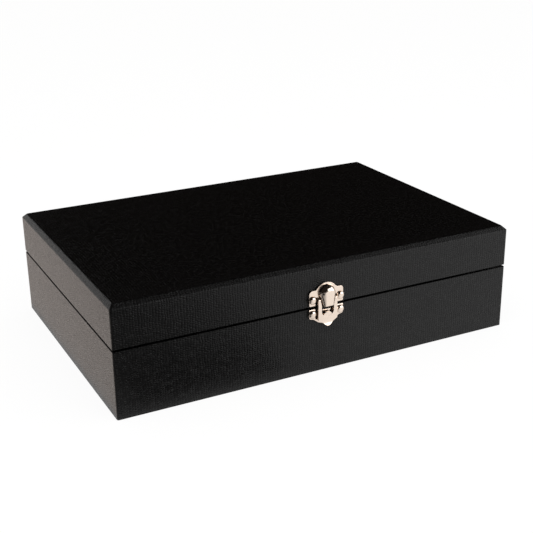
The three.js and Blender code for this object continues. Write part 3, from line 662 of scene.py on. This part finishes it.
def slotted_screw(node, side):
    """A countersunk screw, its slotted head at the leaf's face. side is 1 in the lid and -1 in the base."""
    low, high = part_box(node)
    bm = bmesh.new()
    verts = [bm.verts.new((r * MM, 0, depth * MM)) for r, depth in SCREW_PROFILE]
    edges = [bm.edges.new(pair) for pair in zip(verts, verts[1:])]
    bmesh.ops.spin(
        bm, geom=verts + edges, cent=(0, 0, 0), axis=(0, 0, 1), dvec=(0, 0, 0),
        angle=2 * math.pi, steps=24, use_merge=True, use_duplicate=False,
    )
    bmesh.ops.remove_doubles(bm, verts=bm.verts, dist=NEAR)
    bmesh.ops.holes_fill(bm, edges=[e for e in bm.edges if e.is_boundary], sides=0)
    for x, y in (
        (SCREW_SLOT_HALF_WIDTH, 0), (-SCREW_SLOT_HALF_WIDTH, 0),
        (0, SCREW_SLOT_HALF_LENGTH), (0, -SCREW_SLOT_HALF_LENGTH),
    ):
        head = [f for f in bm.faces if all(abs(v.co.z) < NEAR for v in f.verts)]
        geom = list(dict.fromkeys(g for f in head for g in (*f.verts, *f.edges, f)))
        side_of_slot = Vector((x, y, 0)) * MM
        bmesh.ops.bisect_plane(bm, geom=geom, plane_co=side_of_slot, plane_no=side_of_slot.normalized())
    slot = [f for f in bm.faces if f.calc_center_median().length < 10 * NEAR]
    sunk = new_verts(bmesh.ops.extrude_face_region(bm, geom=slot))
    bmesh.ops.translate(bm, vec=(0, 0, SCREW_SLOT_DEPTH * MM), verts=sunk)
    bmesh.ops.delete(bm, geom=slot, context="FACES_ONLY")
    set_down(bm, (low, high), low.z if side > 0 else high.z, side)
    made = object_from(bm, "steel_" + node, steel)
    keep_flats(made)
    return made


for hinge in ("hinge_left", "hinge_right"):
    leaves = [(f"{hinge}_base_leaf", "base"), (f"{hinge}_lid_leaf", "lid"), (f"{hinge}_pin", "base")]
    for node, body in leaves:
        made = eased_copy(node, "steel_" + node, steel, LEAF_EDGE)
        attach(made, body)
        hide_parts(node)
    for body, side in (("base", -1), ("lid", 1)):
        for node in (f"{hinge}_{body}_screw_1", f"{hinge}_{body}_screw_2"):
            made = slotted_screw(node, side)
            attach(made, body)
            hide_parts(node)


# Clasp. Nickel-plated steel, pressed from thin sheet: a plate with a domed nose on the lid, a hasp hung on
# the nose, and a plate with a raised boss on the base, held by round-head pins. Sizes are in millimetres:
# widths from its middle, heights from the seam, depths from the box's front, and last a corner's radius.
CLASP_SHEET = 1
PLATE_EDGE = 0.28
PLATE_FRONT = 1.15
LID_PLATE_LOW = 1.3
EAR_HALF_WIDTH, EAR_TOP = 12.6, 12
ARCH_TOP, ARCH_RADIUS, ARCH_FOOT = 16.35, 8.6, 8
ARCH_START, ARCH_STEPS = 36, 12
RELIEF_INNER, RELIEF_OUTER, RELIEF_TOP = 6.5, 7.8, 6.9
NOSE_CENTRE, NOSE_RADIUS, NOSE_TIP = 9, 5.8, 4
NOSE_FACE = 2.8
NOSE_FOOT = 6.2
DOME_STEPS, FLANK_STEPS = 18, 4
# Each stroke of the press draws the nose's outline in to a radius and out to a depth.
NOSE_PRESS = (
    (6.08, 1.75), (5.94, 2.4), (5.74, 3), (5.46, 3.6), (5.1, 4.15), (4.62, 4.62), (4.05, 5), (3.45, 5.28),
    (2.8, 5.46), (2.15, 5.56), (1.5, 5.6),
)


def nickel_plate(tree):
    """Bright nickel over pressed steel: soft clouds in the gloss, and a faint ripple left by the press."""
    place = add_node(tree, "TexCoord").outputs["Object"]
    cloud = add_node(tree, "TexNoise", inputs={"Vector": place, "Scale": 1 / (2.5 * MM), "Detail": 3})
    gloss = add_node(tree, "MapRange", inputs={"Value": cloud.outputs["Fac"], "To Min": 0.1, "To Max": 0.2})
    ripple = add_node(tree, "TexNoise", inputs={"Vector": place, "Scale": 1 / (1.6 * MM), "Detail": 1})
    bump = add_node(
        tree, "Bump", inputs={"Strength": 0.2, "Distance": 0.03 * MM, "Height": ripple.outputs["Fac"]}
    )
    return add_node(
        tree,
        "BsdfPrincipled",
        inputs={
            "Base Color": linear("#eddccd"),
            "Metallic": 1,
            "Roughness": gloss.outputs["Result"],
            "Normal": bump.outputs["Normal"],
        },
    )


nickel = new_material("nickel_plate", nickel_plate)
plate_low, plate_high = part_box("clasp_lid_plate")
CLASP_PLACE = Vector((
    (plate_low.x + plate_high.x) / 2,
    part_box("base_cover")[0].y,
    (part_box("base_cover")[1].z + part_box("lid_cover")[0].z) / 2,
))


def on_clasp(across, height, depth):
    """A place on the clasp, given in millimetres, as a place in the scene."""
    return CLASP_PLACE + Vector((across, -depth, height)) * MM


def both_sides(right):
    """Corners of the right half, from the bottom to the top or the other way, with their mirror images."""
    return list(right) + [(-x, height, radius) for x, height, radius in reversed(right)]


def round_corner(bm, vert, radius):
    """Rounds one corner of an outline."""
    one, other = (e.other_vert(vert).co - vert.co for e in vert.link_edges)
    bmesh.ops.bevel(
        bm, geom=[vert], offset=radius / math.tan(one.angle(other) / 2), offset_type="OFFSET", segments=5,
        profile=0.5, affect="VERTICES", material=-1, clamp_overlap=True,
    )


def blanked(corners, depth):
    """A flat blank cut to an outline of (across, height, corner radius), and its corners in order."""
    bm = bmesh.new()
    verts = [bm.verts.new(on_clasp(x, height, depth)) for x, height, radius in corners]
    bm.faces.new(verts)
    for vert, (x, height, radius) in zip(verts, corners):
        if radius:
            round_corner(bm, vert, radius * MM)
    return bm, verts


def score_blank(bm, heights, across=()):
    """Cuts lines right across a blank, to bend it along."""
    for height in heights:
        score(bm, on_clasp(0, height, 0), (0, 0, 1))
    for x in across:
        score(bm, on_clasp(x, 0, 0), (1, 0, 0))


def pressed_piece(bm, name, thickness, edge):
    """Turns a shaped blank's face outwards, and gives it the sheet's thickness and softened edges."""
    bmesh.ops.recalc_face_normals(bm, faces=bm.faces)
    if max(bm.faces, key=lambda f: f.calc_area()).normal.y > 0:
        bmesh.ops.reverse_faces(bm, faces=bm.faces)
    made = object_from(bm, name, nickel)
    thicken(made, thickness * MM)
    soft = made.modifiers.new("edges", "BEVEL")
    soft.width = edge * MM
    soft.segments = 3
    soft.limit_method = "ANGLE"
    soft.angle_limit = math.radians(38)
    keep_flats(made, weight=60)
    return made


def nose_half(radius, height):
    """Half the nose's width below its dome, where its flanks draw in towards the tip."""
    tip = NOSE_FACE + (radius - NOSE_FACE) * (NOSE_TIP - NOSE_FACE) / (NOSE_RADIUS - NOSE_FACE)
    return tip + (radius - tip) * (height - LID_PLATE_LOW) / (NOSE_CENTRE - LID_PLATE_LOW)


def press_nose(vert, radius, depth):
    """Moves a corner of the nose's outline in to that radius and out to that depth."""
    at = (vert.co - CLASP_PLACE) / MM
    if at.z > NOSE_CENTRE:
        scale = radius / math.hypot(at.x, at.z - NOSE_CENTRE)
        vert.co = on_clasp(at.x * scale, NOSE_CENTRE + (at.z - NOSE_CENTRE) * scale, depth)
    else:
        vert.co = on_clasp(math.copysign(nose_half(radius, at.z), at.x), at.z, depth)


def lid_plate():
    """The plate on the lid, with the nose drawn out of it."""
    turns = [math.radians(ARCH_START + (90 - ARCH_START) * i / ARCH_STEPS) for i in range(ARCH_STEPS)]
    arch_centre = ARCH_TOP - ARCH_RADIUS
    outside = [
        (RELIEF_INNER, LID_PLATE_LOW, 0), (RELIEF_INNER, RELIEF_TOP, 0), (RELIEF_OUTER, RELIEF_TOP, 0),
        (RELIEF_OUTER, LID_PLATE_LOW, 0.3), (EAR_HALF_WIDTH, LID_PLATE_LOW, 0.9),
        (EAR_HALF_WIDTH, EAR_TOP, 2.2), (ARCH_FOOT, EAR_TOP, 1.4),
    ]
    outside += [(ARCH_RADIUS * math.cos(a), arch_centre + ARCH_RADIUS * math.sin(a), 0) for a in turns]
    dome = [math.radians(180 - 180 * i / DOME_STEPS) for i in range(1, DOME_STEPS)]
    flank_height = NOSE_CENTRE - LID_PLATE_LOW
    flank = [LID_PLATE_LOW + flank_height * i / FLANK_STEPS for i in range(FLANK_STEPS + 1)]
    foot = [(-nose_half(NOSE_FOOT, z), z, 0) for z in flank]
    foot += [(NOSE_FOOT * math.cos(a), NOSE_CENTRE + NOSE_FOOT * math.sin(a), 0) for a in dome]
    foot += [(nose_half(NOSE_FOOT, z), z, 0) for z in reversed(flank)]
    outline = both_sides(outside)
    outline.insert(len(outside), (0, ARCH_TOP, 0))
    bm, verts = blanked(outline + foot, PLATE_FRONT)
    ring = set(verts[len(outline):])
    edges = [e for e in bm.edges if ring.issuperset(e.verts)]
    for radius, depth in NOSE_PRESS:
        ring = new_verts(bmesh.ops.extrude_edge_only(bm, edges=edges))
        edges = [e for e in bm.edges if set(ring).issuperset(e.verts)]
        for vert in ring:
            press_nose(vert, radius, depth)
    # One face closes the nose's front, with its corners in order as seen from just under its foot.
    low = on_clasp(0, LID_PLATE_LOW - 0.01, 0)
    bm.faces.new(sorted(ring, key=lambda v: math.atan2(v.co.x - low.x, v.co.z - low.z)))
    return pressed_piece(bm, "nickel_lid_plate", CLASP_SHEET, PLATE_EDGE)


HASP_SHEET = 0.8
HASP_EDGE = 0.28
HASP_FRONT, HASP_BACK = 3.4, 1.45
HASP_HALF_WIDTH = 7
PIVOT_HEIGHT = 5.3
SLOT_HALF_WIDTH, SLOT_SPRING, SLOT_DROP, SLOT_STEPS = 4.5, -2.5, 4, 18
HASP_WALL_LOW = -8.4
# Scores this far from the middle keep the bent front smooth beside the walls.
HASP_SCORE = 6
HASP_LIP = (
    (6.75, -8.75), (6.2, -9.1), (5.3, -9.6), (4.3, -10.15), (3.4, -10.8), (2.7, -11.4), (2, -12),
    (1.2, -12.5), (0.5, -12.75),
)
# Heights at which the lip is bent, and the depth of its front there.
HASP_BENDS = (
    (-7.4, 3.4), (-9, 3.4), (-9.6, 3.43), (-10.2, 3.5), (-10.8, 3.62), (-11.4, 3.78), (-12, 3.97),
    (-12.9, 4.27),
)


def hasp_depth(height):
    """How far the bent front stands out at a height."""
    if height >= HASP_BENDS[0][0]:
        return HASP_FRONT
    for (above, near), (below, far) in zip(HASP_BENDS, HASP_BENDS[1:]):
        if height >= below:
            return near + (far - near) * (above - height) / (above - below)
    return HASP_BENDS[-1][1]


def hasp():
    """The hasp: its front with the U-shaped cut, its folded side walls and the rolled ends of its arms."""
    slope = (NOSE_RADIUS - NOSE_TIP) / (NOSE_CENTRE - LID_PLATE_LOW)
    arm = SLOT_HALF_WIDTH + slope * (PIVOT_HEIGHT - LID_PLATE_LOW)
    half = [(arm, PIVOT_HEIGHT, 0), (HASP_HALF_WIDTH, PIVOT_HEIGHT, 0), (HASP_HALF_WIDTH, HASP_WALL_LOW, 0)]
    half += [(x, height, 0) for x, height in HASP_LIP]
    turns = [math.radians(180 + 180 * i / SLOT_STEPS) for i in range(SLOT_STEPS + 1)]
    slot = [(-SLOT_HALF_WIDTH, LID_PLATE_LOW, 0)]
    slot += [(SLOT_HALF_WIDTH * math.cos(a), SLOT_SPRING + SLOT_DROP * math.sin(a), 0) for a in turns]
    slot += [(SLOT_HALF_WIDTH, LID_PLATE_LOW, 0)]
    bm = blanked(both_sides(half) + slot, HASP_FRONT)[0]
    score_blank(bm, [height for height, depth in HASP_BENDS[:-1]], across=(-HASP_SCORE, HASP_SCORE))
    for vert in bm.verts:
        vert.co.y = on_clasp(0, 0, hasp_depth((vert.co.z - CLASP_PLACE.z) / MM)).y

    def at_side(edge):
        return all(abs(abs(v.co.x - CLASP_PLACE.x) - HASP_HALF_WIDTH * MM) < NEAR for v in edge.verts)

    top = on_clasp(0, PIVOT_HEIGHT, 0).z
    walls = [e for e in bm.edges if at_side(e)]
    tops = [e for e in bm.edges if at_height(e, top)]
    for vert in new_verts(bmesh.ops.extrude_edge_only(bm, edges=walls)):
        vert.co.y = on_clasp(0, 0, HASP_BACK).y
    centre = on_clasp(0, PIVOT_HEIGHT, (HASP_FRONT + HASP_BACK) / 2)
    bmesh.ops.spin(
        bm, geom=tops + list(dict.fromkeys(v for e in tops for v in e.verts)), cent=centre, axis=(1, 0, 0),
        dvec=(0, 0, 0), angle=-math.pi, steps=8, use_merge=False, use_duplicate=False,
    )
    bmesh.ops.remove_doubles(bm, verts=bm.verts, dist=NEAR)
    ends = [
        e for e in bm.edges
        if e.is_boundary and at_side(e) and all(v.co.z > top - 10 * NEAR for v in e.verts)
    ]
    bmesh.ops.holes_fill(bm, edges=ends, sides=0)
    return pressed_piece(bm, "nickel_hasp", HASP_SHEET, HASP_EDGE)


BASE_PLATE_EDGE = 0.22
BASE_PLATE_TOP, BASE_NOTCH_LOW, BASE_TONGUE_TOP = -0.7, -8, -2.2
BASE_HALF = (
    (5.8, -10.6, 1.6), (9.4, -8, 2), (EAR_HALF_WIDTH, -7.2, 1.3), (EAR_HALF_WIDTH, BASE_PLATE_TOP, 0.5),
    (RELIEF_OUTER, BASE_PLATE_TOP, 0.2), (RELIEF_OUTER, BASE_NOTCH_LOW, 0.2),
    (RELIEF_INNER, BASE_NOTCH_LOW, 0.2), (RELIEF_INNER, BASE_TONGUE_TOP, 0.4),
)
BASE_POINT = (0, -12.6, 2.5)
# The top edge leans back above its lowest bend, by this much for each millimetre of height.
BASE_BENDS = (-1.1, -1.5)
BASE_ROLL = 0.69
# The boss's half outline, and the strokes that raise it, each as a width inwards and a height outwards.
BOSS = ((3.4, -8.2, 1.2), (3.4, -3.4, 2.9))
BOSS_PRESS = ((0.12, 0.35), (0.22, 0.3), (0.32, 0.25), (0.42, 0.18), (0.5, 0.1), (0.5, 0.03))


def base_plate():
    """The plate on the base, with its leaning top edge, its pointed foot and the boss in its middle."""
    bm = blanked(both_sides(BASE_HALF) + [BASE_POINT], PLATE_FRONT)[0]
    score_blank(bm, BASE_BENDS)
    for vert in bm.verts:
        height = (vert.co.z - CLASP_PLACE.z) / MM
        vert.co.y += BASE_ROLL * max(0, height - min(BASE_BENDS)) * MM
    boss = blanked(both_sides(BOSS), PLATE_FRONT)[0]
    face = list(boss.faces)[0]
    face.normal_update()
    if face.normal.y > 0:
        face.normal_flip()
    for inwards, outwards in BOSS_PRESS:
        bmesh.ops.inset_region(
            boss, faces=[face], thickness=inwards * MM, depth=outwards * MM, use_even_offset=True,
        )
    pressed = bpy.data.meshes.new("boss")
    boss.to_mesh(pressed)
    boss.free()
    bm.from_mesh(pressed)
    bpy.data.meshes.remove(pressed)
    return pressed_piece(bm, "nickel_base_plate", CLASP_SHEET, BASE_PLATE_EDGE)


# A pin's outline from the top of its head to its point, as radius and height over its plate.
PIN_HEAD = 1.5
PIN_PROFILE = (
    (0, PIN_HEAD), (0.75, 1.47), (1.35, 1.38), (1.9, 1.18), (2.38, 0.86), (2.68, 0.48), (2.8, 0.18),
    (2.76, 0), (0.6, 0), (0.6, -7), (0.3, -7.9), (0, -8.6),
)


def round_head_pin(number):
    """A pin turned from wire, with a low domed head that sits on its plate."""
    name = f"clasp_pin_{number}"
    low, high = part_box(name)
    across = (low.x + high.x) / 2
    height = (low.z + high.z) / 2
    bm = bmesh.new()
    verts = [bm.verts.new((across + r * MM, low.y + (PIN_HEAD - out) * MM, height)) for r, out in PIN_PROFILE]
    edges = [bm.edges.new(pair) for pair in zip(verts, verts[1:])]
    bmesh.ops.spin(
        bm, geom=verts + edges, cent=(across, 0, height), axis=(0, 1, 0), dvec=(0, 0, 0),
        angle=2 * math.pi, steps=32, use_merge=True, use_duplicate=False,
    )
    bmesh.ops.remove_doubles(bm, verts=bm.verts, dist=NEAR)
    bmesh.ops.recalc_face_normals(bm, faces=bm.faces)
    made = object_from(bm, "nickel_pin_" + str(number), nickel)
    smooth = made.modifiers.new("rounding", "SUBSURF")
    smooth.levels = smooth.render_levels = 1
    return made


for make, node, body in (
    (lid_plate, "clasp_lid_plate", "lid"),
    (hasp, "clasp_hasp", "hasp"),
    (base_plate, "clasp_base_plate", "base"),
):
    made = make()
    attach(made, body)
    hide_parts(node)
for number, body in ((1, "lid"), (2, "lid"), (3, "base"), (4, "base")):
    made = round_head_pin(number)
    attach(made, body)
    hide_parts(f"clasp_pin_{number}")
refinish(["clasp_pivot"], steel)


# Studio, in metres. A white floor that keeps a faint shadow, a pale surround and two soft lamps. A dark
# canopy and four cards on the floor show in reflections alone. The dark cards lie at the front and the left,
# with a small flag close before the front, left of the clasp, and the pale one, which glows though it is no
# lamp, lies beside the left wall.
CANOPY_RADIUS = 3.5
# Spans of the canopy, as first and last bearing and the height of its hem, in degrees.
CANOPY_HEMS = ((-180, -75, -2), (-75, -8, 38), (-8, 78, -2), (78, 163, 34), (163, 180, -2))
DARK_CARD_LEFT, DARK_CARD_FULL, DARK_CARD_RIGHT = -1.4, -0.09, 0.045
DARK_CARD_FRONT, DARK_CARD_DEEP, DARK_CARD_BACK = -1, -0.24, -0.102
DARK_CARD_THINNEST = 0.45
PALE_CARD_LOW, PALE_CARD_HIGH = (-0.36, -0.1), (-0.147, 0.9)
SIDE_CARD_LOW, SIDE_CARD_HIGH = (-1.4, -0.102), (-0.36, 0.6)
FLAG_LOW, FLAG_HIGH = (-0.13, -0.165), (-0.025, -0.11)
PALE_CARD_LIFT, DARK_CARD_LIFT, FLAG_LIFT = 0.0004, 0.0005, 0.0006
PALE_CARD_STRENGTH = 1.2
PAPER_GLOW = 0.9
SURROUND_LIGHT, SURROUND_SEEN = 0.85, 1


def seen_directly(tree):
    """1 for a ray from the camera, a mirror or a clear piece, and 0 for the soft light between surfaces."""
    path = add_node(tree, "LightPath").outputs
    largest = {"operation": "MAXIMUM"}
    mirrored = add_node(tree, "Math", largest, {0: path["Is Camera Ray"], 1: path["Is Glossy Ray"]})
    direct = add_node(tree, "Math", largest, {0: mirrored.outputs[0], 1: path["Is Transmission Ray"]})
    return direct.outputs[0]


def white_paper(tree):
    """Paper that shows white, and a little grey where the box shades it."""
    share = add_node(tree, "Math", {"operation": "MULTIPLY"}, {0: seen_directly(tree), 1: PAPER_GLOW})
    paper = add_node(tree, "BsdfDiffuse", inputs={"Color": linear("#fbfaf9")})
    glow = add_node(tree, "Emission", inputs={"Color": (1, 1, 1, 1), "Strength": 1})
    return add_node(tree, "MixShader", inputs={0: share.outputs[0], 1: paper.outputs[0], 2: glow.outputs[0]})


bm = bmesh.new()
bmesh.ops.create_grid(bm, x_segments=1, y_segments=1, size=8)
floor = object_from(bm, "floor", new_material("white_paper", white_paper))


def black_cloth(tree):
    """Black cloth as a mirror shows it: one dark, slightly warm tone, whatever light falls on it."""
    return add_node(tree, "Emission", inputs={"Color": linear("#211d1b"), "Strength": 1})


def faded_card(tree):
    """A black card that thins out towards its right, and a little towards the box."""
    place = add_node(tree, "SeparateXYZ", inputs={0: add_node(tree, "TexCoord").outputs["Object"]})
    across = add_node(
        tree, "MapRange",
        inputs={
            "Value": place.outputs["X"], "From Min": DARK_CARD_FULL, "From Max": DARK_CARD_RIGHT,
            "To Min": 1, "To Max": 0,
        },
    )
    along = add_node(
        tree, "MapRange",
        inputs={
            "Value": place.outputs["Y"], "From Min": DARK_CARD_DEEP, "From Max": DARK_CARD_BACK,
            "To Min": 1, "To Max": DARK_CARD_THINNEST,
        },
    )
    share = add_node(
        tree, "Math", {"operation": "MULTIPLY"}, {0: across.outputs["Result"], 1: along.outputs["Result"]}
    )
    cloth = add_node(tree, "BsdfDiffuse", inputs={"Color": (0, 0, 0, 1)})
    clear = add_node(tree, "BsdfTransparent")
    return add_node(
        tree, "MixShader", inputs={0: share.outputs[0], 1: clear.outputs[0], 2: cloth.outputs[0]}
    )


def glowing_pale_board(tree):
    """A warm white card that glows by itself though it is no lamp, a painted reflection of a bright
    reflector.
    """
    return add_node(tree, "Emission", inputs={"Color": linear("#fff2ea"), "Strength": PALE_CARD_STRENGTH})


def card(name, low, high, lift, material):
    """A flat card between two corners, lying just over the floor."""
    bm = bmesh.new()
    bmesh.ops.create_grid(bm, x_segments=1, y_segments=1, size=0.5)
    bmesh.ops.scale(bm, vec=(high[0] - low[0], high[1] - low[1], 1), verts=bm.verts)
    bmesh.ops.translate(bm, vec=((low[0] + high[0]) / 2, (low[1] + high[1]) / 2, lift), verts=bm.verts)
    return object_from(bm, name, material)


def screened(face):
    """True for the parts of a dome that the cloth hangs over. Bearings run clockwise from +Y, from above."""
    c = face.calc_center_median()
    turn = math.degrees(math.atan2(c.x, c.y))
    rise = math.degrees(math.asin(c.z / c.length))
    return any(first < turn < last and rise > hem for first, last, hem in CANOPY_HEMS)


bm = bmesh.new()
bmesh.ops.create_uvsphere(bm, u_segments=72, v_segments=48, radius=CANOPY_RADIUS)
bmesh.ops.delete(bm, geom=[f for f in bm.faces if not screened(f)], context="FACES")
dark_cloth = new_material("black_cloth", black_cloth)
canopy = object_from(bm, "dark_canopy", dark_cloth)
dark_card = card(
    "dark_card", (DARK_CARD_LEFT, DARK_CARD_FRONT), (DARK_CARD_RIGHT, DARK_CARD_BACK), DARK_CARD_LIFT,
    new_material("black_card", faded_card),
)
side_card = card("dark_side_card", SIDE_CARD_LOW, SIDE_CARD_HIGH, DARK_CARD_LIFT, dark_cloth)
dark_flag = card("dark_flag", FLAG_LOW, FLAG_HIGH, FLAG_LIFT, dark_cloth)
warm_glow_card = new_material("warm_glow_card", glowing_pale_board)
pale_card = card("pale_card", PALE_CARD_LOW, PALE_CARD_HIGH, PALE_CARD_LIFT, warm_glow_card)
for screen in (canopy, dark_card, side_card, dark_flag, pale_card):
    for ray in ("camera", "diffuse", "shadow", "transmission", "volume_scatter"):
        setattr(screen, "visible_" + ray, False)

world = bpy.data.worlds.new("surround")
bpy.context.scene.world = world
world.use_nodes = True
world.cycles.sampling_method = "NONE"
tree = world.node_tree
tree.nodes.clear()
strength = add_node(
    tree, "MapRange", inputs={"Value": seen_directly(tree), "To Min": SURROUND_LIGHT, "To Max": SURROUND_SEEN}
)
surround = add_node(
    tree, "Background", inputs={"Color": (1, 1, 1, 1), "Strength": strength.outputs["Result"]}
)
add_node(tree, "OutputWorld", inputs={"Surface": surround.outputs[0]})


LAMP_AIM = Vector((0, 0, 0.05))


def soft_lamp(name, place, width, height, watts):
    """A rectangular softbox that faces the box."""
    lamp = bpy.data.lights.new(name, "AREA")
    lamp.shape = "RECTANGLE"
    lamp.size, lamp.size_y, lamp.energy = width, height, watts
    made = bpy.data.objects.new(name, lamp)
    made.location = place
    made.rotation_euler = (LAMP_AIM - Vector(place)).to_track_quat("-Z", "Y").to_euler()
    bpy.context.scene.collection.objects.link(made)
    return made


soft_lamp("key_softbox", place=(1, -1, 0.5), width=1.5, height=0.96, watts=7.2)
fill = soft_lamp("overhead_softbox", place=(-0.4, -0.7, 1.5), width=1.2, height=1.2, watts=10)
fill.visible_glossy = False

# Camera, fitted to the box's edges in the photograph: its place in millimetres, its axes and its lens.
CAMERA_PLACE = Vector((-308.78, -627.04, 310.64)) * MM
CAMERA_RIGHT = (0.89079, -0.45419, -0.01424)
CAMERA_UP = (0.17631, 0.31656, 0.93204)
CAMERA_BACK = (-0.41882, -0.83277, 0.36207)
camera = bpy.data.objects.new("camera", bpy.data.cameras.new("camera"))
bpy.context.scene.collection.objects.link(camera)
turn = Matrix((CAMERA_RIGHT, CAMERA_UP, CAMERA_BACK)).transposed().to_4x4()
camera.matrix_world = Matrix.Translation(CAMERA_PLACE) @ turn
camera.data.sensor_width = 36
camera.data.lens = 69.59
camera.data.clip_start, camera.data.clip_end = 0.05, 40
bpy.context.scene.camera = camera
bpy.context.scene.view_settings.view_transform = "Standard"
